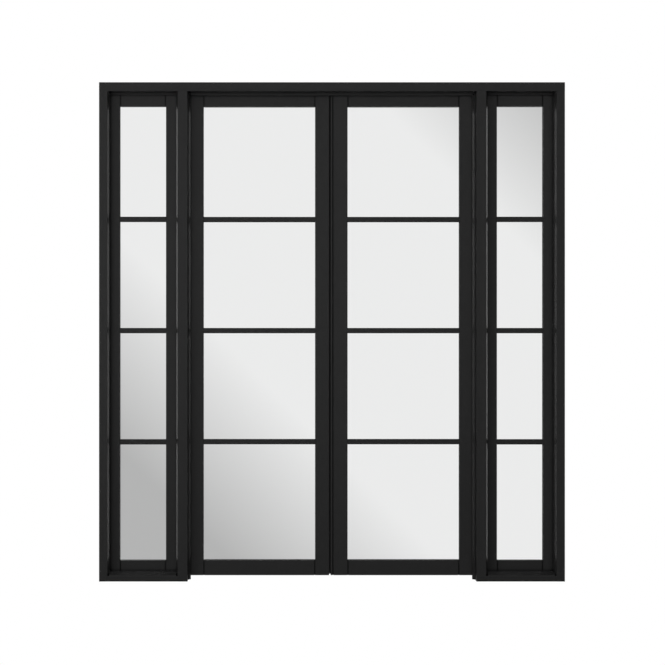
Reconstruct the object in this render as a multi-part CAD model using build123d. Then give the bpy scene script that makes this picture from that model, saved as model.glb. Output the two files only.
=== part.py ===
from build123d import *
import os

# Glazed room divider: a timber frame with a pair of doors between two fixed sidelights.
# Millimetres. The origin is on the wall face of the left jamb, at floor level and at mid depth.
# X runs along the divider, +Y is the side that the doors open to, and +Z is up.

# Frame boards
frame_depth = 133.0
overall_height = 2031.0
outer_jamb_thickness = 32.0
mullion_thickness = 38.0
head_thickness = 36.0
sill_thickness = 22.5
sidelight_opening = 289.5
doorway_opening = 1176.0
board_arris = 1.0

# Stops that the doors close against
door_stop_projection = 10.0
door_stop_depth = 25.0
side_stop_bevel_width = 7.5
side_stop_bevel_depth = 11.0
head_stop_bevel = 3.0
door_stop_clearance = 5.0

# Door leaves
leaf_thickness = 35.0
leaf_clearance = 5.0
leaf_floor_gap = 14.5
door_stile = 56.5
door_top_rail = 48.0
door_bottom_rail = 62.5
leaf_arris = 0.8
joint_groove_width = 5.0
joint_groove_depth = 7.0

# Meeting stiles: the right one is wider by an edge that holds a bead and a quirk
meeting_gap = 6.6
beaded_edge = 12.5
bead_width = 7.5
quirk_width = 4.0
quirk_depth = 12.0
bead_round = 1.6

# Glass and glazing bars
glass_thickness = 5.0
groove_depth = 11.0
glass_side_clearance = 0.3
glass_edge_clearance = 2.0
bar_height = 20.0
bar_spacing = 457.6
bar_rise = 11.2
bar_count = 3
bar_setback = 1.0
bar_chamfer = 2.5
bar_end_gap = 0.4

# Fixed sidelight panels and the strips that hold them
panel_thickness = 35.0
panel_clearance = 2.5
sidelight_outer_width = 44.0
sidelight_inner_width = 51.0
strip_thickness = 8.0
sill_strip_thickness = 15.0
strip_bevel_width = 6.5
strip_bevel_depth = 14.0
sill_bevel_width = 11.0
sill_bevel_depth = 24.0
strip_setback = 0.5
top_strip_setback = 66.0
top_strip_bevel = 3.0
strip_joint = 0.4
back_bead_depth = 14.0
bead_joint = 0.4

# Butt hinges
hinge_height = 100.0
hinge_plate_thickness = 2.0
hinge_plate_depth = 30.0
hinge_axis_offset = 6.5
barrel_radius = 5.5
pin_radius = 3.0
pin_clearance = 0.05
pin_cap_radius = 4.4
pin_cap_height = 3.0
knuckle_gap = 0.4
top_hinge_drop = 150.0
bottom_hinge_rise = 225.0

# Places worked out from the sizes above
left_mullion_x = outer_jamb_thickness + sidelight_opening
doorway_x = left_mullion_x + mullion_thickness
overall_width = 2 * doorway_x + doorway_opening
middle_x = overall_width / 2
front_y = -frame_depth / 2
back_y = frame_depth / 2
head_z = overall_height - head_thickness
leaf_front_y = back_y - leaf_thickness
leaf_bottom_z = leaf_floor_gap
leaf_top_z = head_z - leaf_clearance
daylight_bottom_z = leaf_bottom_z + door_bottom_rail
daylight_top_z = leaf_top_z - door_top_rail
leaf_hinge_x = doorway_x + leaf_clearance
left_leaf_end_x = middle_x - (beaded_edge + meeting_gap) / 2
right_leaf_start_x = left_leaf_end_x + meeting_gap
panel_back_y = back_y - back_bead_depth
panel_front_y = panel_back_y - panel_thickness
bar_middle_z = (daylight_bottom_z + daylight_top_z) / 2 + bar_rise
bar_heights = [bar_middle_z + bar_spacing * (i - (bar_count - 1) / 2) for i in range(bar_count)]
middle_plane = Plane.YZ.offset(middle_x)

nodes = {}


def slab(x, y, z):
    """A plain block between the low and high value given for each direction."""
    size = [high - low for low, high in (x, y, z)]
    centre = [(low + high) / 2 for low, high in (x, y, z)]
    return Pos(*centre) * Box(*size)


def board(x, y, z, along, arris):
    """A block whose four long edges are eased."""
    block = slab(x, y, z)
    return fillet(block.edges().filter_by(along), arris)


def mirrored(shape):
    """The same piece on the other side of the divider's middle."""
    return mirror(shape, about=middle_plane)


def add_pair(name, shapes):
    """Store a left piece and its mirror image on the right."""
    nodes["left_" + name] = shapes
    nodes["right_" + name] = [mirrored(shape) for shape in shapes]


def bevelled(block, edge_axis, position_axis, take_last, width, depth):
    """Bevel the front inner edge of a stop: width across its face, depth into the frame."""
    front_edges = block.edges().filter_by(edge_axis).group_by(Axis.Y)[0].sort_by(position_axis)
    edge = front_edges[-1] if take_last else front_edges[0]
    front_face = block.faces().sort_by(Axis.Y)[0]
    return chamfer(edge, width, depth, reference=front_face)


# Head, jambs, mullions and sills
boards_y = (front_y, back_y)
nodes["head"] = [board((0, overall_width), boards_y, (head_z, overall_height), Axis.X, board_arris)]
add_pair("outer_jamb", [board((0, outer_jamb_thickness), boards_y, (0, head_z), Axis.Z, board_arris)])
add_pair("mullion", [board((left_mullion_x, doorway_x), boards_y, (0, head_z), Axis.Z, board_arris)])
sill_x = (outer_jamb_thickness, left_mullion_x)
add_pair("sill", [board(sill_x, boards_y, (0, sill_thickness), Axis.X, board_arris)])

# Door stops, planted in front of the leaves
stop_back_y = leaf_front_y - door_stop_clearance
stop_front_y = stop_back_y - door_stop_depth
stop_y = (stop_front_y, stop_back_y)
stop_under_z = head_z - door_stop_projection
stop_inner_x = doorway_x + door_stop_projection
side_stop = bevelled(
    slab((doorway_x, stop_inner_x), stop_y, (0, head_z)),
    Axis.Z, Axis.X, True, side_stop_bevel_width, side_stop_bevel_depth,
)
head_stop = bevelled(
    slab((stop_inner_x, overall_width - stop_inner_x), stop_y, (stop_under_z, head_z)),
    Axis.X, Axis.Z, False, head_stop_bevel, head_stop_bevel,
)
add_pair("door_stop", [side_stop])
nodes["door_head_stop"] = [head_stop]


# Glazed panels: what the door leaves and the sidelight panels share
def glass_slab(x, front, thickness, reach):
    """The space of a sheet in the middle of a panel, reaching past its daylight on every edge."""
    middle = front + thickness / 2
    half = glass_thickness / 2
    return slab(
        (x[0] - reach, x[1] + reach),
        (middle - half, middle + half),
        (daylight_bottom_z - reach, daylight_top_z + reach),
    )


def glass_groove(x, front, thickness):
    """What is cut from the stiles and rails to take the sheet."""
    middle = front + thickness / 2
    half = glass_thickness / 2 + glass_side_clearance
    return slab(
        (x[0] - groove_depth, x[1] + groove_depth),
        (middle - half, middle + half),
        (daylight_bottom_z - groove_depth, daylight_top_z + groove_depth),
    )


def rail(x, y, z):
    """A rail between two stiles, with a groove down each shoulder that shows the joint."""
    core = slab(x, (y[0] + joint_groove_depth, y[1] - joint_groove_depth), z)
    faces = slab((x[0] + joint_groove_width, x[1] - joint_groove_width), y, z)
    return core + faces


def glazing_bars(x, front, thickness):
    """Bars planted on both faces of the sheet, with their outer edges chamfered."""
    glass_front = front + (thickness - glass_thickness) / 2
    glass_back = glass_front + glass_thickness
    span = (x[0] + bar_end_gap, x[1] - bar_end_gap)
    bars = []
    for z in bar_heights:
        height = (z - bar_height / 2, z + bar_height / 2)
        front_bar = slab(span, (front + bar_setback, glass_front), height)
        back_bar = slab(span, (glass_back, front + thickness - bar_setback), height)
        bars.append(chamfer(front_bar.edges().filter_by(Axis.X).group_by(Axis.Y)[0], bar_chamfer))
        bars.append(chamfer(back_bar.edges().filter_by(Axis.X).group_by(Axis.Y)[-1], bar_chamfer))
    return bars


glass_reach = groove_depth - glass_edge_clearance

# Left sidelight panel, mirrored to the right
panel_x = (outer_jamb_thickness + panel_clearance, left_mullion_x - panel_clearance)
panel_y = (panel_front_y, panel_back_y)
panel_z = (sill_thickness + panel_clearance, head_z - panel_clearance)
panel_daylight = (panel_x[0] + sidelight_outer_width, panel_x[1] - sidelight_inner_width)
panel_groove = glass_groove(panel_daylight, panel_front_y, panel_thickness)
outer_stile = board((panel_x[0], panel_daylight[0]), panel_y, panel_z, Axis.Z, leaf_arris)
inner_stile = board((panel_daylight[1], panel_x[1]), panel_y, panel_z, Axis.Z, leaf_arris)
panel_top = rail(panel_daylight, panel_y, (daylight_top_z, panel_z[1]))
panel_bottom = rail(panel_daylight, panel_y, (panel_z[0], daylight_bottom_z))
add_pair("sidelight_outer_stile", [outer_stile - panel_groove])
add_pair("sidelight_inner_stile", [inner_stile - panel_groove])
add_pair("sidelight_top_rail", [panel_top - panel_groove])
add_pair("sidelight_bottom_rail", [panel_bottom - panel_groove])
add_pair("sidelight_glass", [glass_slab(panel_daylight, panel_front_y, panel_thickness, glass_reach)])
add_pair("sidelight_bars", glazing_bars(panel_daylight, panel_front_y, panel_thickness))

# Bevelled strips in front of a sidelight panel, and plain beads behind it
strip_y = (front_y + strip_setback, panel_front_y)
strip_x = (outer_jamb_thickness + strip_thickness, left_mullion_x - strip_thickness)
strip_z = (sill_thickness, head_z)
top_strip_z = (head_z - strip_thickness, head_z)
sill_strip_z = (sill_thickness, sill_thickness + sill_strip_thickness)
between_x = (strip_x[0] + strip_joint, strip_x[1] - strip_joint)
side_bevel = (strip_bevel_width, strip_bevel_depth)
outer_strip = slab((outer_jamb_thickness, strip_x[0]), strip_y, strip_z)
inner_strip = slab((strip_x[1], left_mullion_x), strip_y, strip_z)
top_strip_y = (front_y + top_strip_setback, panel_front_y)
top_strip = slab(between_x, top_strip_y, top_strip_z)
sill_strip = slab(between_x, strip_y, sill_strip_z)
front_strips = [
    bevelled(outer_strip, Axis.Z, Axis.X, True, *side_bevel),
    bevelled(inner_strip, Axis.Z, Axis.X, False, *side_bevel),
    bevelled(top_strip, Axis.X, Axis.Z, False, top_strip_bevel, top_strip_bevel),
    bevelled(sill_strip, Axis.X, Axis.Z, True, sill_bevel_width, sill_bevel_depth),
]
add_pair("sidelight_front_strips", front_strips)

back_bead_y = (panel_back_y, back_y)
back_bead_x = (strip_x[0] + bead_joint, strip_x[1] - bead_joint)
back_beads = [
    board((outer_jamb_thickness, strip_x[0]), back_bead_y, strip_z, Axis.Z, board_arris),
    board((strip_x[1], left_mullion_x), back_bead_y, strip_z, Axis.Z, board_arris),
    board(back_bead_x, back_bead_y, top_strip_z, Axis.X, board_arris),
    board(back_bead_x, back_bead_y, sill_strip_z, Axis.X, board_arris),
]
add_pair("sidelight_back_beads", back_beads)

# Door leaves
leaf_y = (leaf_front_y, back_y)
leaf_z = (leaf_bottom_z, leaf_top_z)
left_daylight = (leaf_hinge_x + door_stile, left_leaf_end_x - door_stile)
leaf_groove = glass_groove(left_daylight, leaf_front_y, leaf_thickness)
hinge_stile = board((leaf_hinge_x, left_daylight[0]), leaf_y, leaf_z, Axis.Z, leaf_arris)
leaf_top = rail(left_daylight, leaf_y, (daylight_top_z, leaf_top_z))
leaf_bottom = rail(left_daylight, leaf_y, (leaf_bottom_z, daylight_bottom_z))
add_pair("door_hinge_stile", [hinge_stile - leaf_groove])
add_pair("door_top_rail", [leaf_top - leaf_groove])
add_pair("door_bottom_rail", [leaf_bottom - leaf_groove])
add_pair("door_glass", [glass_slab(left_daylight, leaf_front_y, leaf_thickness, glass_reach)])
add_pair("door_bars", glazing_bars(left_daylight, leaf_front_y, leaf_thickness))

# Meeting stiles: square edges, with a bead and a quirk worked on the front of the right one
left_stile = board((left_daylight[1], left_leaf_end_x), leaf_y, leaf_z, Axis.Z, leaf_arris)
nodes["left_door_meeting_stile"] = [left_stile - leaf_groove]

right_daylight_x = overall_width - left_daylight[1]
quirk_x = (right_leaf_start_x + bead_width, right_leaf_start_x + bead_width + quirk_width)
right_stile = board((right_leaf_start_x, right_daylight_x), leaf_y, leaf_z, Axis.Z, leaf_arris)
quirk_y = (leaf_front_y, leaf_front_y + quirk_depth)
bead_x = (right_leaf_start_x, quirk_x[0])
bead_room = slab(bead_x, (leaf_front_y, leaf_front_y + 2 * bead_round), leaf_z)
bead = board(bead_x, quirk_y, leaf_z, Axis.Z, bead_round)
right_profile = right_stile - slab(quirk_x, quirk_y, leaf_z) - bead_room + bead
nodes["right_door_meeting_stile"] = [right_profile - mirrored(leaf_groove)]

# Hinges: plates on the mullion and on the leaf, knuckles round a pin behind the back faces
hinge_x = doorway_x + leaf_clearance / 2
hinge_y = back_y + hinge_axis_offset
hinge_levels = [
    leaf_bottom_z + bottom_hinge_rise,
    (leaf_bottom_z + bottom_hinge_rise + leaf_top_z - top_hinge_drop) / 2,
    leaf_top_z - top_hinge_drop,
]
knuckle_height = (hinge_height - 2 * knuckle_gap) / 3


def knuckle(plate_x, z):
    """A barrel with its bore, and the tongue that joins it to its plate."""
    level = (z - knuckle_height / 2, z + knuckle_height / 2)
    tongue = slab(plate_x, (back_y, hinge_y), level)
    barrel = Pos(hinge_x, hinge_y, z) * Cylinder(barrel_radius, knuckle_height)
    bore = Pos(hinge_x, hinge_y, z) * Cylinder(pin_radius + pin_clearance, knuckle_height)
    return tongue + barrel - bore


def hinge_pin(z):
    """A pin with a button cap at each end."""
    pin = Pos(hinge_x, hinge_y, z) * Cylinder(pin_radius, hinge_height + 2 * pin_clearance)
    for side in (-1, 1):
        cap_z = z + side * (hinge_height / 2 + pin_clearance + pin_cap_height / 2)
        cap = Pos(hinge_x, hinge_y, cap_z) * Cylinder(pin_cap_radius, pin_cap_height)
        pin = pin + cap
    return pin


plate_y = (back_y - hinge_plate_depth, back_y)
mullion_plate_x = (doorway_x, doorway_x + hinge_plate_thickness)
leaf_plate_x = (leaf_hinge_x - hinge_plate_thickness, leaf_hinge_x)
knuckle_pitch = knuckle_height + knuckle_gap
mullion_plates = []
leaf_plates = []
for level in hinge_levels:
    span = (level - hinge_height / 2, level + hinge_height / 2)
    lower = knuckle(mullion_plate_x, level - knuckle_pitch)
    upper = knuckle(mullion_plate_x, level + knuckle_pitch)
    mullion_plates.append(slab(mullion_plate_x, plate_y, span) + lower + upper)
    leaf_plates.append(slab(leaf_plate_x, plate_y, span) + knuckle(leaf_plate_x, level))
add_pair("hinge_mullion_plates", mullion_plates)
add_pair("hinge_door_plates", leaf_plates)
add_pair("hinge_pins", [hinge_pin(level) for level in hinge_levels])

# One file for each piece
os.makedirs("parts", exist_ok=True)
for name, shapes in nodes.items():
    solids = [solid for shape in shapes for solid in shape.solids()]
    piece = solids[0] if len(solids) == 1 else Compound(solids)
    export_step(piece, f"parts/{name}.step")
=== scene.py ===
"""Looks of a glazed room divider: black painted timber, clear glass and steel butt hinges."""
import logging
import math
import random
from dataclasses import dataclass
from enum import Enum
from typing import Any, Iterator, Optional

import bmesh
import bpy
from mathutils import Matrix, Vector


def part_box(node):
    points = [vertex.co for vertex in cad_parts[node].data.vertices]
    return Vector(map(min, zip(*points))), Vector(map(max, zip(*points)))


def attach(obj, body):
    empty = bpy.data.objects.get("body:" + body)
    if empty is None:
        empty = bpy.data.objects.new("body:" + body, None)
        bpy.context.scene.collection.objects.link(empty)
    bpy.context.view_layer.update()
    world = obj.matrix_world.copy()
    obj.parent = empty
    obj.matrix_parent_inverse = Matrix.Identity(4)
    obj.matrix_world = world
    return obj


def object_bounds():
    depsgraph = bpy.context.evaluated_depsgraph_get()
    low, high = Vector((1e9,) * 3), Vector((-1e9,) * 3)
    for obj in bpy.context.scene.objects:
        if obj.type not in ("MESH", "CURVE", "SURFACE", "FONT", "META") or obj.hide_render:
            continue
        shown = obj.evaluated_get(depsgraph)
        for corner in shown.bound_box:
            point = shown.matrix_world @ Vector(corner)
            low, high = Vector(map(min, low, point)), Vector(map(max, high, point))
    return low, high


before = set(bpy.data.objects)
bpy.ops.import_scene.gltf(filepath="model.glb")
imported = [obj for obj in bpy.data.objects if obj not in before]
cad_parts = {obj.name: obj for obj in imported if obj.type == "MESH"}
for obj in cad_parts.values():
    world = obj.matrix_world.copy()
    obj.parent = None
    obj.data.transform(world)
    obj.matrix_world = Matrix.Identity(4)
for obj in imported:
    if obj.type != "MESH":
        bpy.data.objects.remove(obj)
CAD_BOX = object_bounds()
MILLIMETRE = 0.001

Span = tuple[float, float]
Place = tuple[float, float, float]
Colour = tuple[float, float, float, float]
Shape = bmesh.types.BMesh
Material = bpy.types.Material
Tree = bpy.types.NodeTree
Socket = bpy.types.NodeSocket

QUARTER_TURN = math.radians(90.0)
WHOLE: Span = (0.0, 1.0)
CLOUD_RANGE: Span = (0.3, 0.7)
EASE_SEGMENTS = 2

log = logging.getLogger("divider")


class Side(Enum):
    """The two halves of the divider, as the viewer in front sees them."""

    LEFT = "left"
    RIGHT = "right"

    @property
    def inward(self) -> float:
        """The sign of X that leads to the divider's middle."""
        return 1.0 if self is Side.LEFT else -1.0


class End(Enum):
    """The two faces of the divider, as the sign of Y that leads away from them."""

    FRONT = -1.0
    BACK = 1.0


class Body(Enum):
    """What a piece moves with."""

    FRAME = "frame"
    LEFT_DOOR = "left_door"
    RIGHT_DOOR = "right_door"

    @classmethod
    def door(cls, side: Side) -> "Body":
        """The door leaf on one side."""
        return cls.LEFT_DOOR if side is Side.LEFT else cls.RIGHT_DOOR


class Slot(Enum):
    """The record's hinge steel finish, which no added piece here is given."""

    STEEL = "hinge_steel"


class Grain(Enum):
    """The way the grain of a board runs, as the stretch of its pattern along X, Y and Z."""

    UPRIGHT = (1.0, 1.0, 0.03)
    LEVEL = (0.03, 1.0, 1.0)


def grey(value: float) -> Colour:
    """A neutral colour."""
    return (value, value, value, 1.0)


@dataclass(frozen=True)
class Cloud:
    """A cloudy pattern.

    Attributes:
        cells: How many cells it has to a metre.
        detail: How many finer layers lie over them.
    """

    cells: float
    detail: float = 2.0


class Graph:
    """A node tree with short calls that place and join nodes."""

    def __init__(self, tree: Tree) -> None:
        """Start with an empty tree.

        Args:
            tree: The tree, which is cleared.
        """
        self.tree = tree
        tree.nodes.clear()

    def node(self, kind: str, **settings: Any) -> bpy.types.Node:
        """Place a node.

        Args:
            kind: Blender's name for the node, without its ShaderNode prefix.
            settings: Properties of the node.

        Returns:
            The new node.
        """
        placed = self.tree.nodes.new(kind if kind.startswith("NodeGroup") else "ShaderNode" + kind)
        for name, value in settings.items():
            setattr(placed, name, value)
        return placed

    def feed(self, socket: Socket, source: Any) -> None:
        """Join a source to a socket, or set the socket to a plain value.

        Args:
            socket: The input.
            source: The output socket or the value that feeds it.
        """
        if isinstance(source, Socket):
            self.tree.links.new(source, socket)
        else:
            socket.default_value = source

    def math(self, operation: str, first: Any, second: Any = 0.0) -> Socket:
        """Take one arithmetic step.

        Args:
            operation: Blender's name for the step.
            first: The first value.
            second: The second value, where the step takes two.

        Returns:
            The result.
        """
        step = self.node("Math", operation=operation)
        self.feed(step.inputs[0], first)
        self.feed(step.inputs[1], second)
        return step.outputs[0]

    def weigh(self, *parts: tuple[Any, float]) -> Socket:
        """Add values up, each times its share.

        Args:
            parts: Each value with its share.

        Returns:
            The sum.
        """
        total, *others = [self.math("MULTIPLY", value, share) for value, share in parts]
        for other in others:
            total = self.math("ADD", total, other)
        return total

    def noise(self, vector: Any, cloud: Cloud) -> Socket:
        """Draw a cloudy pattern.

        Args:
            vector: The coordinates that it lies in.
            cloud: How fine it is.

        Returns:
            Its value.
        """
        pattern = self.node("TexNoise")
        self.feed(pattern.inputs["Vector"], vector)
        pattern.inputs["Scale"].default_value = cloud.cells
        pattern.inputs["Detail"].default_value = cloud.detail
        return pattern.outputs["Fac"]

    def stretched(self, vector: Any, stretch: Place, slant: float = 0.0) -> Socket:
        """Stretch coordinates along their axes.

        Args:
            vector: The coordinates.
            stretch: Their scale along X, Y and Z.
            slant: How many degrees they are turned about Y.

        Returns:
            The stretched coordinates.
        """
        step = self.node("Mapping")
        step.inputs["Rotation"].default_value = (0.0, math.radians(slant), 0.0)
        step.inputs["Scale"].default_value = stretch
        self.feed(step.inputs["Vector"], vector)
        return step.outputs[0]

    def spread(self, value: Any, given: Span, wanted: Span = WHOLE) -> Socket:
        """Map one range of values onto another, held at its ends.

        Args:
            value: What is mapped.
            given: The low and high end of what comes in.
            wanted: What those two ends become.

        Returns:
            The mapped value.
        """
        step = self.node("MapRange", clamp=True)
        self.feed(step.inputs["Value"], value)
        for name, end in zip(("From Min", "From Max", "To Min", "To Max"), (*given, *wanted)):
            step.inputs[name].default_value = end
        return step.outputs["Result"]

    def mix(self, factor: Any, first: Any, second: Any) -> Socket:
        """Blend two colours.

        Args:
            factor: The second colour's share.
            first: The first colour.
            second: The second colour.

        Returns:
            The colour between them.
        """
        step = self.node("Mix", data_type="RGBA")
        self.feed(step.inputs["Factor"], factor)
        colour_in = [socket for socket in step.inputs if socket.type == "RGBA"]
        self.feed(colour_in[0], first)
        self.feed(colour_in[1], second)
        return next(socket for socket in step.outputs if socket.type == "RGBA")

    def mix_shader(self, factor: Any, first: Any, second: Any) -> Socket:
        """Blend two shaders.

        Args:
            factor: The second shader's share.
            first: The first shader.
            second: The second shader.

        Returns:
            The blended shader.
        """
        step = self.node("MixShader")
        for socket, source in zip(step.inputs, (factor, first, second)):
            self.feed(socket, source)
        return step.outputs[0]

    def bump(self, height: Any, strength: float, depth: float) -> Socket:
        """Turn heights into a bent normal.

        Args:
            height: The heights, from 0 to 1.
            strength: How much of them shows.
            depth: How deep they are.

        Returns:
            The normal.
        """
        step = self.node("Bump")
        step.inputs["Strength"].default_value = strength
        step.inputs["Distance"].default_value = depth
        self.feed(step.inputs["Height"], height)
        return step.outputs["Normal"]

    def group(self, shared: Tree, **sources: Any) -> Any:
        """Put a shared group in the tree.

        Args:
            shared: The group.
            sources: What feeds each input, by its name.

        Returns:
            The group's outputs.
        """
        node = self.node("Group", node_tree=shared)
        for name, source in sources.items():
            self.feed(node.inputs[name], source)
        return node.outputs


class Effects:
    """Shader groups that several finishes share.

    Attributes:
        painted_grain: Timber grain and roller stipple as they telegraph through a coat of paint.
        rubbed_edges: A mask of the arrises that hands and cloths rub, broken up by a cloud.
        settled_dust: A mask of the fine dust that settles on faces that look up.
        painted_crevice_shade: How open a spot lies, which falls to a low share in joints and
            corners; it sets the painted shade there.
    """

    GRAIN = Cloud(210.0, 3.0)
    PORES = Cloud(620.0, 1.0)
    STIPPLE = Cloud(640.0)
    LAP = Cloud(17.0)
    PATCH = Cloud(6.0, 3.0)
    PORE_RANGE: Span = (0.28, 0.42)
    GRAIN_HEIGHT = 0.5
    STIPPLE_HEIGHT = 0.35
    PORE_HEIGHT = 0.25
    MAIN_SHARE = 0.6
    MINOR_SHARE = 0.4

    WEAR = Cloud(38.0, 4.0)
    WEAR_RANGE: Span = (0.42, 0.62)
    ARRIS_FACING: Span = (0.80, 0.99)
    ARRIS_SAMPLES = 4

    SPECKS = Cloud(90.0, 5.0)
    SPECK_RANGE: Span = (0.35, 0.75)
    SPECK_SHARES: Span = (0.2, 1.0)
    UPWARD: Span = (0.55, 0.95)

    OPEN_RANGE: Span = (0.15, 0.75)
    OPEN_SHARES: Span = (0.12, 1.0)
    OPEN_SAMPLES = 8

    def __init__(self) -> None:
        """Build each group once."""
        self.painted_grain = self._painted_grain()
        self.rubbed_edges = self._rubbed_edges()
        self.settled_dust = self._settled_dust()
        self.painted_crevice_shade = self._painted_crevice_shade()

    @staticmethod
    def _start(
        name: str, inputs: dict[str, str], outputs: dict[str, str]
    ) -> tuple[Graph, Any, Any]:
        """Make an empty group with its sockets.

        Args:
            name: The group's name.
            inputs: Socket type by input name.
            outputs: Socket type by output name.

        Returns:
            The graph, what its inputs give and the sockets that its outputs take.
        """
        tree = bpy.data.node_groups.new(name, "ShaderNodeTree")
        for in_out, sockets in (("INPUT", inputs), ("OUTPUT", outputs)):
            for socket, kind in sockets.items():
                tree.interface.new_socket(socket, in_out=in_out, socket_type="NodeSocket" + kind)
        graph = Graph(tree)
        return graph, graph.node("NodeGroupInput").outputs, graph.node("NodeGroupOutput").inputs

    def _painted_grain(self) -> Tree:
        """Build the grain and stipple."""
        graph, given, made = self._start(
            "painted_grain",
            {"Place": "Vector", "Stretched": "Vector"},
            {"Height": "Float", "Tone": "Float", "Gloss": "Float"},
        )
        grain = graph.noise(given["Stretched"], self.GRAIN)
        pores = graph.spread(graph.noise(given["Stretched"], self.PORES), self.PORE_RANGE)
        stipple = graph.noise(given["Place"], self.STIPPLE)
        lap = graph.noise(given["Stretched"], self.LAP)
        patch = graph.noise(given["Place"], self.PATCH)
        height = graph.weigh(
            (grain, self.GRAIN_HEIGHT), (stipple, self.STIPPLE_HEIGHT), (pores, self.PORE_HEIGHT)
        )
        graph.feed(made["Height"], height)
        graph.feed(made["Tone"], graph.weigh((lap, self.MAIN_SHARE), (grain, self.MINOR_SHARE)))
        graph.feed(made["Gloss"], graph.weigh((patch, self.MAIN_SHARE), (lap, self.MINOR_SHARE)))
        return graph.tree

    def _rubbed_edges(self) -> Tree:
        """Build the mask of rubbed arrises."""
        graph, given, made = self._start(
            "rubbed_edges", {"Place": "Vector", "Width": "Float"}, {"Mask": "Float"}
        )
        rounded = graph.node("Bevel", samples=self.ARRIS_SAMPLES)
        graph.feed(rounded.inputs["Radius"], given["Width"])
        flat = graph.node("NewGeometry")
        facing = graph.node("VectorMath", operation="DOT_PRODUCT")
        graph.feed(facing.inputs[0], rounded.outputs["Normal"])
        graph.feed(facing.inputs[1], flat.outputs["Normal"])
        turned = graph.spread(facing.outputs["Value"], self.ARRIS_FACING, WHOLE[::-1])
        broken = graph.spread(graph.noise(given["Place"], self.WEAR), self.WEAR_RANGE)
        graph.feed(made["Mask"], graph.math("MULTIPLY", turned, broken))
        return graph.tree

    def _settled_dust(self) -> Tree:
        """Build the mask of dust."""
        graph, given, made = self._start("settled_dust", {"Place": "Vector"}, {"Mask": "Float"})
        split = graph.node("SeparateXYZ")
        graph.feed(split.inputs[0], graph.node("NewGeometry").outputs["Normal"])
        upward = graph.spread(split.outputs["Z"], self.UPWARD)
        cloud = graph.noise(given["Place"], self.SPECKS)
        specks = graph.spread(cloud, self.SPECK_RANGE, self.SPECK_SHARES)
        graph.feed(made["Mask"], graph.math("MULTIPLY", upward, specks))
        return graph.tree

    def _painted_crevice_shade(self) -> Tree:
        """Build the measure of openness, which sets the painted shade of joints, corners and
        recesses.
        """
        graph, given, made = self._start(
            "painted_crevice_shade", {"Reach": "Float"}, {"Openness": "Float"}
        )
        # Painted shade: ambient occlusion, turned into a share that darkens colour and gloss in
        # joints, corners and recesses.
        deep_shade = graph.node("AmbientOcclusion", samples=self.OPEN_SAMPLES)
        graph.feed(deep_shade.inputs["Distance"], given["Reach"])
        openness = graph.spread(deep_shade.outputs["AO"], self.OPEN_RANGE, self.OPEN_SHARES)
        graph.feed(made["Openness"], openness)
        return graph.tree


def new_graph(name: str) -> tuple[Material, Graph, Any]:
    """Start a material.

    Args:
        name: The material's name.

    Returns:
        The material, its empty graph and the socket that takes the surface.
    """
    material = bpy.data.materials.new(name)
    material.use_nodes = True
    graph = Graph(material.node_tree)
    return material, graph, graph.node("OutputMaterial").inputs["Surface"]


@dataclass(frozen=True)
class PaintFinish:
    """Satin black paint, rolled onto timber.

    Attributes:
        grain: The way the board's grain runs.
        deep: The paint's colour where it lies thick.
        thin: Its colour where it lies thin.
        rubbed: Its colour on a rubbed arris.
        dusty: Its colour under settled dust.
        deep_shade: Its colour as painted shade deep in joints and corners.
        smooth: Its roughness in the glossiest patches.
        dull: Its roughness in the dullest patches.
        specular: How strong its gloss is.
        relief: How much of the grain and stipple shows.
        relief_depth: How deep they are.
        edge_width: How wide a rubbed arris is.
        edge_share: How much of the colour is rubbed there.
        dust_share: How much of the colour is dust on faces that look up.
        dust_dulling: How much rougher full dust makes the paint.
        crevice_reach: How near another face has to be for painted shade to darken a spot.
    """

    grain: Grain
    deep: float = 0.0125
    thin: float = 0.0165
    rubbed: float = 0.034
    dusty: float = 0.028
    deep_shade: float = 0.001
    smooth: float = 0.18
    dull: float = 0.26
    specular: float = 0.30
    relief: float = 0.16
    relief_depth: float = 0.35 * MILLIMETRE
    edge_width: float = 1.2 * MILLIMETRE
    edge_share: float = 0.5
    dust_share: float = 0.12
    dust_dulling: float = 0.4
    crevice_reach: float = 14.0 * MILLIMETRE

    def material(self, effects: Effects) -> Material:
        """Build the paint's nodes.

        Args:
            effects: The shared shader groups.

        Returns:
            The finished material.
        """
        material, graph, surface = new_graph(f"satin_black_{self.grain.name.lower()}")
        place = graph.node("TexCoord").outputs["Object"]
        along = graph.stretched(place, self.grain.value)
        grain = graph.group(effects.painted_grain, Place=place, Stretched=along)
        edges = graph.group(effects.rubbed_edges, Place=place, Width=self.edge_width)
        dust = graph.group(effects.settled_dust, Place=place)
        openness = graph.group(effects.painted_crevice_shade, Reach=self.crevice_reach)["Openness"]
        coat = graph.mix(grain["Tone"], grey(self.deep), grey(self.thin))
        wear = graph.math("MULTIPLY", edges["Mask"], self.edge_share)
        worn = graph.mix(wear, coat, grey(self.rubbed))
        dusted = graph.math("MULTIPLY", dust["Mask"], self.dust_share)
        aged = graph.mix(dusted, worn, grey(self.dusty))
        gloss = graph.spread(grain["Gloss"], CLOUD_RANGE, (self.smooth, self.dull))
        dulling = graph.math("MULTIPLY", dusted, self.dust_dulling)
        shader = graph.node("BsdfPrincipled")
        takes = shader.inputs
        # Painted shade: colour and gloss sink towards the shade colour in joints and corners,
        # where openness is low.
        graph.feed(takes["Base Color"], graph.mix(openness, grey(self.deep_shade), aged))
        graph.feed(takes["Roughness"], graph.math("ADD", gloss, dulling))
        graph.feed(takes["Normal"], graph.bump(grain["Height"], self.relief, self.relief_depth))
        graph.feed(takes["Specular IOR Level"], graph.math("MULTIPLY", openness, self.specular))
        graph.feed(surface, shader.outputs[0])
        return material


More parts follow.
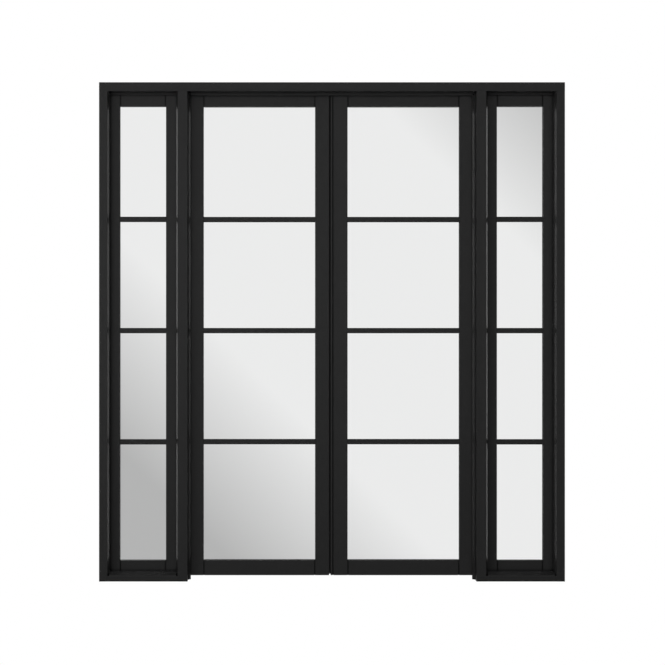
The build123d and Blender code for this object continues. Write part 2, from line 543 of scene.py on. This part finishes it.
@dataclass(frozen=True)
class GlassFinish:
    """Clear float glass with a few wiping marks.

    Attributes:
        tint: The colour of what passes through the sheet.
        clean: The roughness of polished glass.
        smeared: The roughness of a wiping mark.
        index: How strongly the sheet bends light.
        shadow: How much lamp light the sheet lets pass.
        marks: The pattern of the wiping marks.
        mark_range: Where in the pattern a mark starts and where it is full.
        mark_stretch: How the marks are drawn out.
        mark_slant: How many degrees they lean.
    """

    tint: Colour = (0.97, 0.975, 0.973, 1.0)
    clean: float = 0.0
    smeared: float = 0.035
    index: float = 1.5
    shadow: float = 0.88
    marks: Cloud = Cloud(24.0, 4.0)
    mark_range: Span = (0.56, 0.78)
    mark_stretch: Place = (1.0, 1.0, 0.16)
    mark_slant: float = 24.0

    def material(self) -> Material:
        """Build the glass's nodes."""
        material, graph, surface = new_graph("clear_float_glass")
        place = graph.node("TexCoord").outputs["Object"]
        wiped = graph.noise(graph.stretched(place, self.mark_stretch, self.mark_slant), self.marks)
        shader = graph.node("BsdfPrincipled")
        shader.inputs["Base Color"].default_value = self.tint
        shader.inputs["Transmission Weight"].default_value = 1.0
        shader.inputs["IOR"].default_value = self.index
        smears = graph.spread(wiped, self.mark_range, (self.clean, self.smeared))
        graph.feed(shader.inputs["Roughness"], smears)
        clear = graph.node("BsdfTransparent")
        clear.inputs["Color"].default_value = grey(self.shadow)
        shadow_ray = graph.node("LightPath").outputs["Is Shadow Ray"]
        graph.feed(surface, graph.mix_shader(shadow_ray, shader.outputs[0], clear.outputs[0]))
        return material


@dataclass(frozen=True)
class SteelFinish:
    """Satin stainless steel, brushed along its length.

    Attributes:
        bright: The colour of a fresh brush line.
        dull: The colour between brush lines.
        rubbed: The colour of a polished arris.
        deep_shade: The colour of painted shade deep in a recess.
        smooth: The roughness of the smoothest lines.
        rough: The roughness of the roughest lines.
        relief: How much of the brush lines shows.
        relief_depth: How deep they are.
        lines: The pattern of the brush lines.
        line_stretch: How the lines are drawn out.
        edge_width: How wide a polished arris is.
        dust_dulling: How much rougher full dust makes the steel.
        crevice_reach: How near another face has to be for painted shade to darken a spot.
    """

    bright: float = 0.60
    dull: float = 0.46
    rubbed: float = 0.72
    deep_shade: float = 0.02
    smooth: float = 0.24
    rough: float = 0.40
    relief: float = 0.12
    relief_depth: float = 0.12 * MILLIMETRE
    lines: Cloud = Cloud(2600.0)
    line_stretch: Place = (1.0, 1.0, 0.02)
    edge_width: float = 0.6 * MILLIMETRE
    dust_dulling: float = 0.2
    crevice_reach: float = 1.6 * MILLIMETRE

    def material(self, effects: Effects) -> Material:
        """Build the steel's nodes.

        Args:
            effects: The shared shader groups.

        Returns:
            The finished material.
        """
        material, graph, surface = new_graph("satin_steel")
        place = graph.node("TexCoord").outputs["Object"]
        brushed = graph.noise(graph.stretched(place, self.line_stretch), self.lines)
        edges = graph.group(effects.rubbed_edges, Place=place, Width=self.edge_width)
        dust = graph.group(effects.settled_dust, Place=place)
        crevices = graph.group(effects.painted_crevice_shade, Reach=self.crevice_reach)
        brush_lines = graph.mix(brushed, grey(self.dull), grey(self.bright))
        # Painted shade: the brush lines sink towards the shade colour in recesses, where openness
        # is low.
        shaded_lines = graph.mix(crevices["Openness"], grey(self.deep_shade), brush_lines)
        gloss = graph.spread(brushed, CLOUD_RANGE, (self.smooth, self.rough))
        dulling = graph.math("MULTIPLY", dust["Mask"], self.dust_dulling)
        shader = graph.node("BsdfPrincipled")
        takes = shader.inputs
        graph.feed(takes["Base Color"], graph.mix(edges["Mask"], shaded_lines, grey(self.rubbed)))
        graph.feed(takes["Roughness"], graph.math("ADD", gloss, dulling))
        graph.feed(takes["Normal"], graph.bump(brushed, self.relief, self.relief_depth))
        takes["Metallic"].default_value = 1.0
        graph.feed(surface, shader.outputs[0])
        return material


@dataclass(frozen=True)
class SealFinish:
    """A soft black seal: moulded rubber or bristle.

    Attributes:
        name: What the seal is.
        dark: Its colour in the hollows of its texture.
        light: Its colour on the ridges.
        texture: The pattern of its texture.
        smooth: Its roughness in the hollows.
        rough: Its roughness on the ridges.
        relief: How much of the texture shows.
        relief_depth: How deep it is.
    """

    name: str
    dark: float
    light: float
    texture: Cloud
    smooth: float
    rough: float
    relief: float = 0.2
    relief_depth: float = 0.1 * MILLIMETRE

    def material(self) -> Material:
        """Build the seal's nodes."""
        material, graph, surface = new_graph(self.name)
        mottle = graph.noise(graph.node("TexCoord").outputs["Object"], self.texture)
        gloss = graph.spread(mottle, CLOUD_RANGE, (self.smooth, self.rough))
        shader = graph.node("BsdfPrincipled")
        takes = shader.inputs
        graph.feed(takes["Base Color"], graph.mix(mottle, grey(self.dark), grey(self.light)))
        graph.feed(takes["Roughness"], gloss)
        graph.feed(takes["Normal"], graph.bump(mottle, self.relief, self.relief_depth))
        graph.feed(surface, shader.outputs[0])
        return material


class Finishes:
    """Every material of the divider, built once.

    Attributes:
        upright: The paint of boards that stand.
        level: The paint of boards that lie level.
        glass: The glass of all panels.
        steel: The steel of the hinges and their screws.
        rubber: The rubber round the panes.
        bristle: The brush between the leaves.
    """

    LEVEL_BOARDS = ("head", "head_stop", "sill", "rail", "bars")

    def __init__(self) -> None:
        """Build the shared effects and then the materials."""
        effects = Effects()
        self.upright = PaintFinish(Grain.UPRIGHT).material(effects)
        self.level = PaintFinish(Grain.LEVEL).material(effects)
        self.glass = GlassFinish().material()
        self.steel = SteelFinish().material(effects)
        self.rubber = SealFinish(
            "glazing_rubber", dark=0.010, light=0.018, texture=Cloud(300.0, 3.0),
            smooth=0.54, rough=0.70,
        ).material()
        self.bristle = SealFinish(
            "brush_bristle", dark=0.006, light=0.014, texture=Cloud(1500.0, 3.0),
            smooth=0.67, rough=0.83,
        ).material()

    def for_node(self, name: str) -> Material:
        """Pick the material of a carried-over node by what its name says it is.

        Args:
            name: The node's name.

        Returns:
            Its material.
        """
        if name.endswith("glass"):
            return self.glass
        if "hinge" in name and not name.endswith("stile"):
            return self.steel
        return self.level if name.endswith(self.LEVEL_BOARDS) else self.upright


def mesh_of(name: str, shape: Shape) -> bpy.types.Mesh:
    """Turn a finished bmesh into a mesh.

    Args:
        name: The mesh's name.
        shape: The bmesh, which is freed.

    Returns:
        The new mesh.
    """
    mesh = bpy.data.meshes.new(name)
    shape.to_mesh(mesh)
    shape.free()
    return mesh


def stand(name: str, data: bpy.types.ID) -> bpy.types.Object:
    """Put a mesh, a lamp or a camera in the scene.

    Args:
        name: The object's name.
        data: What it shows.

    Returns:
        The new object.
    """
    placed = bpy.data.objects.new(name, data)
    bpy.context.scene.collection.objects.link(placed)
    return placed


def place_piece(
    name: str, shape: Shape, material: Material, body: Body
) -> None:
    """Turn a finished bmesh into a piece that rides on a body.

    Args:
        name: The piece's name.
        shape: Its mesh, in place, which is freed.
        material: Its finish.
        body: What it moves with.
    """
    mesh = mesh_of(name, shape)
    mesh.materials.append(material)
    piece = stand(name, mesh)
    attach(piece, body.value)
    log.info("%s: %d faces on %s", name, len(mesh.polygons), body.value)


def add_block(shape: Shape, low: Vector, high: Vector, ease: float = 0.0) -> None:
    """Add a block between two corners.

    Args:
        shape: The mesh that takes it.
        low: Its lowest corner.
        high: Its highest corner.
        ease: How far its edges are bevelled.
    """
    made = bmesh.ops.create_cube(shape, size=1.0)["verts"]
    bmesh.ops.scale(shape, vec=high - low, verts=made)
    bmesh.ops.translate(shape, vec=(low + high) / 2, verts=made)
    if ease > 0.0:
        edges = list({edge for vert in made for edge in vert.link_edges})
        bmesh.ops.bevel(
            shape, geom=edges, offset=ease, affect="EDGES", segments=EASE_SEGMENTS, profile=0.5,
            material=-1,
        )


@dataclass
class GlazedPanel:
    """One glazed panel, with the rubber line that beds its glass around every pane.

    Attributes:
        name: The panel's name, which its nodes start with.
        body: What it moves with.
        first_stile: The node name's end of the stile at its low X.
        last_stile: The node name's end of the stile at its high X.
        bar_height: How tall a glazing bar is.
        bar_count: How many bars the panel has.
        line_width: How wide the rubber line shows.
        line_depth: How far it stands out from the glass.
        line_ease: How far its edges are bevelled.
    """

    name: str
    body: Body
    first_stile: str
    last_stile: str
    bar_height: float = 20.0 * MILLIMETRE
    bar_count: int = 3
    line_width: float = 0.9 * MILLIMETRE
    line_depth: float = 2.2 * MILLIMETRE
    line_ease: float = 0.2 * MILLIMETRE

    def pane_heights(self) -> Iterator[Span]:
        """The bottom and top of each pane, from the lowest up."""
        low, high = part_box(f"{self.name}_bars")
        spacing = (high.z - low.z - self.bar_height) / (self.bar_count - 1)
        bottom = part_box(f"{self.name}_bottom_rail")[1].z
        for index in range(self.bar_count):
            bar_foot = low.z + index * spacing
            yield bottom, bar_foot
            bottom = bar_foot + self.bar_height
        yield bottom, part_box(f"{self.name}_top_rail")[0].z

    def _add_line(self, shape: Shape, low: Vector, high: Vector, outward: float) -> None:
        """Add the rubber line round one pane, on one face of the glass.

        Args:
            shape: The mesh that takes it.
            low: The pane's lowest corner on that face.
            high: Its highest corner there.
            outward: The sign of Y that leads away from the glass.
        """
        near, far = sorted((low.y, low.y + outward * self.line_depth))
        left, right = low.x + self.line_width, high.x - self.line_width
        bottom, top = low.z + self.line_width, high.z - self.line_width
        bars = (
            (low.x, left, low.z, high.z),
            (right, high.x, low.z, high.z),
            (left, right, low.z, bottom),
            (left, right, top, high.z),
        )
        for low_x, high_x, low_z, high_z in bars:
            corners = Vector((low_x, near, low_z)), Vector((high_x, far, high_z))
            add_block(shape, *corners, self.line_ease)

    def build(self, rubber: Material) -> None:
        """Model the rubber lines of all panes as one piece.

        Args:
            rubber: The finish of the lines.
        """
        shape = bmesh.new()
        low_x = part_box(f"{self.name}_{self.first_stile}")[1].x
        high_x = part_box(f"{self.name}_{self.last_stile}")[0].x
        glass_low, glass_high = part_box(f"{self.name}_glass")
        for bottom, top in self.pane_heights():
            for end, level in ((End.FRONT, glass_low.y), (End.BACK, glass_high.y)):
                corners = Vector((low_x, level, bottom)), Vector((high_x, level, top))
                self._add_line(shape, *corners, end.value)
        bmesh.ops.recalc_face_normals(shape, faces=shape.faces)
        place_piece(f"{self.name}_glazing_lines", shape, rubber, self.body)


@dataclass
class MeetingBrush:
    """The brush seal on the right leaf's edge, which closes the gap between the leaves.

    Attributes:
        setback: How far the brush sits behind the leaves' front.
        foot_gap: How far it stops above the leaves' lower edge.
        head_gap: How far it stops below their upper edge.
        tip_gap: How far its tips stop short of the left leaf.
        carrier_width: How wide the strip is that carries it.
        carrier_height: How far that strip stands out from the leaf.
        carrier_ease: How far the strip's edges are bevelled.
        fin_thickness: How thick the fin between the bristles is.
        bristle_radius: The radius of a tuft of bristles at its root.
        bristle_taper: The share of it that is left at the tip.
        bristle_sides: How many sides a tuft has.
        bristle_pitch: How far apart the tufts stand.
        bristle_lean: How many degrees a tuft leans at most.
        rows: Where the rows of tufts lie, from the brush's middle.
        seed: What the leans are drawn from.
    """

    setback: float = 13.0 * MILLIMETRE
    foot_gap: float = 4.5 * MILLIMETRE
    head_gap: float = 2.0 * MILLIMETRE
    tip_gap: float = 0.1 * MILLIMETRE
    carrier_width: float = 4.8 * MILLIMETRE
    carrier_height: float = 0.8 * MILLIMETRE
    carrier_ease: float = 0.2 * MILLIMETRE
    fin_thickness: float = 0.3 * MILLIMETRE
    bristle_radius: float = 0.42 * MILLIMETRE
    bristle_taper: float = 0.5
    bristle_sides: int = 4
    bristle_pitch: float = 1.1 * MILLIMETRE
    bristle_lean: float = 4.0
    rows: Span = (-0.8 * MILLIMETRE, 0.8 * MILLIMETRE)
    seed: int = 11

    def build(self, bristle: Material) -> None:
        """Model the carrier, the fin in its middle and a row of bristles on each side of it.

        Args:
            bristle: The finish of the brush.
        """
        left_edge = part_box("left_door_meeting_stile")[1].x
        stile_low, stile_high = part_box("right_door_meeting_stile")
        foot, head = stile_low.z + self.foot_gap, stile_high.z - self.head_gap
        middle = stile_low.y + self.setback
        tip = left_edge + self.tip_gap
        seat = stile_low.x
        root = seat - self.carrier_height
        shape = bmesh.new()
        for start, thickness, ease in (
            (root, self.carrier_width, self.carrier_ease),
            (tip, self.fin_thickness, 0.0),
        ):
            low = Vector((start, middle - thickness / 2, foot))
            add_block(shape, low, Vector((seat, middle + thickness / 2, head)), ease)
        draw = random.Random(self.seed)
        lie_level = Matrix.Rotation(-QUARTER_TURN, 4, "Y")
        count = int((head - foot) / self.bristle_pitch)
        for row in self.rows:
            for index in range(count):
                level = foot + (index + 0.5) * self.bristle_pitch
                place = Matrix.Translation(((root + tip) / 2, middle + row, level))
                angle = draw.uniform(-self.bristle_lean, self.bristle_lean)
                lean = Matrix.Rotation(math.radians(angle), 4, "Y")
                bmesh.ops.create_cone(
                    shape, segments=self.bristle_sides, radius1=self.bristle_radius,
                    radius2=self.bristle_radius * self.bristle_taper, depth=root - tip,
                    matrix=place @ lean @ lie_level,
                )
        place_piece("meeting_brush", shape, bristle, Body.RIGHT_DOOR)


@dataclass
class HingeScrews:
    """The countersunk screws that hold the plates of one side's hinges.

    Attributes:
        side: The side of the divider.
        hinge_height: How tall a hinge is.
        cap: How far a pin's cap stands past its hinge.
        plate_depth: How deep a plate reaches into the frame.
        plate_thickness: How thick a plate is.
        head_radius: The radius of a screw's face.
        head_height: How far the face stands out from the plate.
        head_flare: How much wider the head is at the plate.
        head_sides: How many sides the head's circle has.
        recess_depth: How deep the cross recess is.
        recess_half_width: Half the width of a slot of the cross.
        recess_reach: How far a slot reaches from the middle.
        recess_taper: How much smaller the recess is at its floor.
        rises: How far each screw lies above its hinge's middle.
        stagger: How far the screws lie from the plate's middle line, by turns.
        first_turn: How many degrees the first screw's cross is turned.
        next_turn: How many degrees more each next one is turned.
    """

    side: Side
    hinge_height: float = 100.0 * MILLIMETRE
    cap: float = 3.05 * MILLIMETRE
    plate_depth: float = 30.0 * MILLIMETRE
    plate_thickness: float = 2.0 * MILLIMETRE
    head_radius: float = 3.3 * MILLIMETRE
    head_height: float = 0.45 * MILLIMETRE
    head_flare: float = 1.14
    head_sides: int = 20
    recess_depth: float = 0.4 * MILLIMETRE
    recess_half_width: float = 0.5 * MILLIMETRE
    recess_reach: float = 2.0 * MILLIMETRE
    recess_taper: float = 0.6
    rises: tuple[float, ...] = tuple(rise * MILLIMETRE for rise in (-37.0, -13.0, 13.0, 37.0))
    stagger: float = 6.0 * MILLIMETRE
    first_turn: float = 11.0
    next_turn: float = 23.0

    def _in_cross(self, place: Vector) -> bool:
        """Tell whether a place belongs to the cross recess of a screw's face.

        Args:
            place: The middle of one of the head's faces.

        Returns:
            Whether it does. The faces of the flared edge lie lower and don't.
        """
        across, along = sorted((abs(place.x), abs(place.y)))
        on_top = place.z > -self.head_height / 4
        return on_top and across < self.recess_half_width and along < self.recess_reach

    def _head(self) -> bpy.types.Mesh:
        """Model one screw head that looks along +Z, with a cross recess."""
        shape = bmesh.new()
        bmesh.ops.create_circle(
            shape, cap_ends=True, segments=self.head_sides, radius=self.head_radius
        )
        half, reach = self.recess_half_width, self.recess_reach
        for axis in (Vector((1.0, 0.0, 0.0)), Vector((0.0, 1.0, 0.0))):
            for cut in (-reach, -half, half, reach):
                whole = [*shape.verts, *shape.edges, *shape.faces]
                bmesh.ops.bisect_plane(shape, geom=whole, plane_co=axis * cut, plane_no=axis)
        rim = [edge for edge in shape.edges if edge.is_boundary]
        skirt = bmesh.ops.extrude_edge_only(shape, edges=rim)["geom"]
        foot = [item for item in skirt if isinstance(item, bmesh.types.BMVert)]
        bmesh.ops.translate(shape, vec=(0.0, 0.0, -self.head_height), verts=foot)
        bmesh.ops.scale(shape, vec=(self.head_flare, self.head_flare, 1.0), verts=foot)
        cross = [face for face in shape.faces if self._in_cross(face.calc_center_median())]
        sunk = bmesh.ops.extrude_face_region(shape, geom=cross)["geom"]
        floor = [item for item in sunk if isinstance(item, bmesh.types.BMVert)]
        bmesh.ops.delete(shape, geom=cross, context="FACES")
        bmesh.ops.translate(shape, vec=(0.0, 0.0, -self.recess_depth), verts=floor)
        bmesh.ops.scale(shape, vec=(self.recess_taper, self.recess_taper, 1.0), verts=floor)
        bmesh.ops.translate(shape, vec=(0.0, 0.0, self.head_height), verts=shape.verts)
        bmesh.ops.recalc_face_normals(shape, faces=shape.faces)
        return mesh_of("screw_head", shape)

    def _levels(self) -> Place:
        """The middle height of each hinge, from the lowest up."""
        low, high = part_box(f"{self.side.value}_hinge_pins")
        inset = self.hinge_height / 2 + self.cap
        bottom, top = low.z + inset, high.z - inset
        return bottom, (bottom + top) / 2, top

    def build(self, steel: Material) -> None:
        """Model the screws of the mullion's plates and of the door's plates.

        Args:
            steel: The finish of the screws.
        """
        head = self._head()
        inward = self.side.inward
        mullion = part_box(f"{self.side.value}_mullion")
        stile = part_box(f"{self.side.value}_door_hinge_stile")
        mullion_x = mullion[1].x if self.side is Side.LEFT else mullion[0].x
        stile_x = stile[0].x if self.side is Side.LEFT else stile[1].x
        middle = stile[1].y - self.plate_depth / 2
        sets = (
            ("mullion", mullion_x, inward, Body.FRAME),
            ("door", stile_x, -inward, Body.door(self.side)),
        )
        for holder, seat_x, facing, body in sets:
            shape = bmesh.new()
            face_x = seat_x + facing * self.plate_thickness
            turn = Matrix.Rotation(QUARTER_TURN * facing, 4, "Y")
            for level in self._levels():
                for index, rise in enumerate(self.rises):
                    sway = facing * inward * (self.stagger if index % 2 else -self.stagger)
                    angle = math.radians(self.next_turn * index + self.first_turn)
                    spin = Matrix.Rotation(angle, 4, "Z")
                    place = Matrix.Translation((face_x, middle + sway, level + rise))
                    start = len(shape.verts)
                    shape.from_mesh(head)
                    shape.verts.ensure_lookup_table()
                    added = shape.verts[start:]
                    bmesh.ops.transform(shape, matrix=place @ turn @ spin, verts=added)
            name = f"{self.side.value}_hinge_{holder}_screws"
            place_piece(name, shape, steel, body)
        bpy.data.meshes.remove(head)


@dataclass
class Divider:
    """The whole object: carried-over nodes in their finishes, and the small pieces on them.

    Attributes:
        finishes: The materials of it all.
    """

    finishes: Finishes

    def dress(self) -> None:
        """Give every carried-over node its material."""
        for name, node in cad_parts.items():
            material = self.finishes.for_node(name)
            if not node.material_slots:
                node.data.materials.append(material)
            for held in node.material_slots:
                held.material = material
            log.info("%s: %s", name, material.name)

    def build(self) -> None:
        """Model the glazing lines, the meeting brush and the hinge screws."""
        rubber = self.finishes.rubber
        for side in Side:
            name = side.value
            door_stiles = ("hinge_stile", "meeting_stile")
            light_stiles = ("outer_stile", "inner_stile")
            if side is Side.RIGHT:
                door_stiles, light_stiles = door_stiles[::-1], light_stiles[::-1]
            GlazedPanel(f"{name}_door", Body.door(side), *door_stiles).build(rubber)
            GlazedPanel(f"{name}_sidelight", Body.FRAME, *light_stiles).build(rubber)
            HingeScrews(side).build(self.finishes.steel)
        MeetingBrush().build(self.finishes.bristle)


@dataclass(frozen=True)
class Lamp:
    """A soft studio lamp, which hangs in front of the divider and behind it.

    Attributes:
        name: What the lamp is for.
        place: Where it hangs, with its distance from the divider as Y.
        width: The length of its sides.
        power: How strong it is.
        mirrors: Whether gloss shows it.
        aim: What it points at.
    """

    name: str
    place: Place
    width: Span
    power: float
    mirrors: bool
    aim: Place = (0.95, 0.0, 1.1)

    def build(self, end: End) -> None:
        """Hang the lamp.

        Args:
            end: The face of the divider that it lights.
        """
        name = f"{end.name.lower()}_{self.name}"
        across, away, up = self.place
        place = Vector((across, end.value * away, up))
        data = bpy.data.lights.new(name, "AREA")
        data.shape = "RECTANGLE"
        data.size, data.size_y = self.width
        data.energy = self.power
        lamp = stand(name, data)
        lamp.location = place
        lamp.visible_glossy = self.mirrors
        lamp.visible_transmission = False
        lamp.rotation_euler = (Vector(self.aim) - place).to_track_quat("-Z", "Y").to_euler()


@dataclass(frozen=True)
class Studio:
    """A white studio whose light falls off in soft diagonal bands behind the glass.

    Attributes:
        band_slope: The direction across the bands.
        band_middle: Where the bright band lies, as a share of that direction.
        band_half: Half the width of its even part.
        band_end: How far from its middle it has fallen off.
        band_repeat: How far from its middle the next band starts to rise.
        bright: The light of the band.
        dim: The light between bands.
        ceiling: The light that comes steeply down.
        ceiling_rise: How steep it comes where it sets in and where it is full.
        flank: The light that comes in far from the side, from below and from above.
        flank_rise: How steep those two come.
        flank_reach: How far from the side it comes where it sets in and where it is full.
        around: The light that dull faces get from all around.
        mirrored: The light that gloss mirrors, from below and from above.
        mirrored_rise: How steep those two come.
        floor_half: Half the length of the floor's sides.
        floor_drop: How far the floor lies below the divider's foot.
        floor_tones: The floor's tones.
        floor_mottle: The pattern of those tones.
        floor_roughness: How dull the floor is.
        lamps: The lamps on each face of the divider.
    """

    band_slope: Place = (-math.sqrt(0.5), 0.0, -math.sqrt(0.5))
    band_middle: float = -0.044
    band_half: float = 0.0665
    band_end: float = 0.138
    band_repeat: float = 0.25
    bright: float = 0.88
    dim: float = 0.475
    ceiling: float = 0.04
    ceiling_rise: Span = (0.25, 0.6)
    flank: Span = (0.25, 1.35)
    flank_rise: Span = (-0.09, 0.08)
    flank_reach: Span = (0.82, 0.93)
    around: float = 0.06
    mirrored: Span = (0.12, 0.70)
    mirrored_rise: Span = (-0.25, 0.65)
    floor_half: float = 9.0
    floor_drop: float = 0.5 * MILLIMETRE
    floor_tones: Span = (0.80, 0.82)
    floor_mottle: Cloud = Cloud(3.0, 4.0)
    floor_roughness: float = 0.9
    lamps: tuple[Lamp, ...] = (
        Lamp("key", (-0.6, 5.4, 1.4), (5.0, 2.0), 262.0, mirrors=False),
        Lamp("top", (0.7, 4.6, 5.2), (3.0, 1.6), 24.0, mirrors=True),
    )

    def build_world(self) -> None:
        """Make the world white to the camera, banded behind glass and soft elsewhere."""
        world = bpy.data.worlds.new("studio")
        world.use_nodes = True
        bpy.context.scene.world = world
        graph = Graph(world.node_tree)
        direction = graph.node("TexCoord").outputs["Generated"]
        diagonal = graph.node("VectorMath", operation="DOT_PRODUCT")
        graph.feed(diagonal.inputs[0], direction)
        diagonal.inputs[1].default_value = self.band_slope
        offset = graph.math("SUBTRACT", diagonal.outputs["Value"], self.band_middle)
        apart = graph.math("PINGPONG", offset, self.band_repeat)
        falling = graph.spread(apart, (self.band_half, self.band_end))
        level = graph.mix(falling, grey(self.bright), grey(self.dim))
        split = graph.node("SeparateXYZ")
        graph.feed(split.inputs[0], direction)
        across, rise = split.outputs["X"], split.outputs["Z"]
        sideways = graph.spread(graph.math("ABSOLUTE", across), self.flank_reach)
        wide = graph.mix(sideways, level, graph.spread(rise, self.flank_rise, self.flank))
        banded = graph.mix(graph.spread(rise, self.ceiling_rise), wide, grey(self.ceiling))
        mirrored = graph.spread(rise, self.mirrored_rise, self.mirrored)
        paths = graph.node("LightPath").outputs
        soft = graph.mix(paths["Is Glossy Ray"], grey(self.around), mirrored)
        seen = graph.mix(paths["Is Transmission Ray"], soft, banded)
        sky = graph.node("Background")
        graph.feed(sky.inputs["Color"], graph.mix(paths["Is Camera Ray"], seen, grey(1.0)))
        graph.feed(graph.node("OutputWorld").inputs["Surface"], sky.outputs[0])

    def floor_material(self) -> Material:
        """Build a pale floor that is white to the camera and that glass and gloss don't show."""
        material, graph, surface = new_graph("pale_floor")
        mottle = graph.noise(graph.node("TexCoord").outputs["Object"], self.floor_mottle)
        plain = graph.node("BsdfPrincipled")
        tones = graph.spread(mottle, CLOUD_RANGE, self.floor_tones)
        graph.feed(plain.inputs["Base Color"], tones)
        plain.inputs["Roughness"].default_value = self.floor_roughness
        plain.inputs["Specular IOR Level"].default_value = 0.0
        white = graph.node("Emission")
        white.inputs["Color"].default_value = grey(1.0)
        paths = graph.node("LightPath").outputs
        shown = graph.mix_shader(paths["Is Camera Ray"], plain.outputs[0], white.outputs[0])
        clear = graph.node("BsdfTransparent")
        passing = graph.math("MAXIMUM", paths["Is Transmission Ray"], paths["Is Glossy Ray"])
        graph.feed(surface, graph.mix_shader(passing, shown, clear.outputs[0]))
        return material

    def build_floor(self) -> None:
        """Lay the floor under the divider."""
        shape = bmesh.new()
        bmesh.ops.create_grid(shape, x_segments=1, y_segments=1, size=self.floor_half)
        middle = (CAD_BOX[0] + CAD_BOX[1]) / 2
        place = (middle.x, middle.y, CAD_BOX[0].z - self.floor_drop)
        bmesh.ops.translate(shape, vec=place, verts=shape.verts)
        mesh = mesh_of("floor", shape)
        mesh.materials.append(self.floor_material())
        stand("floor", mesh)

    def build(self) -> None:
        """Build the world, the floor and the lamps."""
        self.build_world()
        self.build_floor()
        for end in End:
            for lamp in self.lamps:
                lamp.build(end)
        bpy.context.scene.view_settings.view_transform = "Standard"


@dataclass(frozen=True)
class Viewpoint:
    """A level camera straight in front of the divider.

    Attributes:
        distance: How far it stands from the frame's front.
        frame_pixels: The picture's width and height.
        object_pixel: Where the divider's middle lies in the picture.
        pixel_size: What one pixel covers at the frame's front.
        sideways: How far it stands beside the picture's middle, which its shift makes up for.
        sensor: The width of its sensor in millimetres.
    """

    distance: float = 8.5
    frame_pixels: float = 665.0
    object_pixel: Span = (332.0, 331.87)
    pixel_size: float = 4.067 * MILLIMETRE
    sideways: float = -210.0 * MILLIMETRE
    sensor: float = 36.0

    def build(self) -> None:
        """Stand the camera and make it the scene's own."""
        data = bpy.data.cameras.new("camera")
        data.sensor_width = self.sensor
        picture_width = self.frame_pixels * self.pixel_size
        data.lens = self.sensor * self.distance / picture_width
        data.shift_x = -self.sideways / picture_width
        head_low, head_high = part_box("head")
        middle = Vector(((head_low.x + head_high.x) / 2, head_low.y, head_high.z / 2))
        half = self.frame_pixels / 2
        camera = stand("camera", data)
        camera.location = (
            middle.x + (half - self.object_pixel[0]) * self.pixel_size + self.sideways,
            middle.y - self.distance,
            middle.z - (half - self.object_pixel[1]) * self.pixel_size,
        )
        camera.rotation_euler = (QUARTER_TURN, 0.0, 0.0)
        bpy.context.scene.camera = camera


def main() -> None:
    """Dress the divider, build its small pieces and set up the studio."""
    logging.basicConfig(level=logging.INFO, format="%(message)s")
    divider = Divider(Finishes())
    divider.dress()
    divider.build()
    Studio().build()
    Viewpoint().build()


if __name__ == "__main__":
    main()
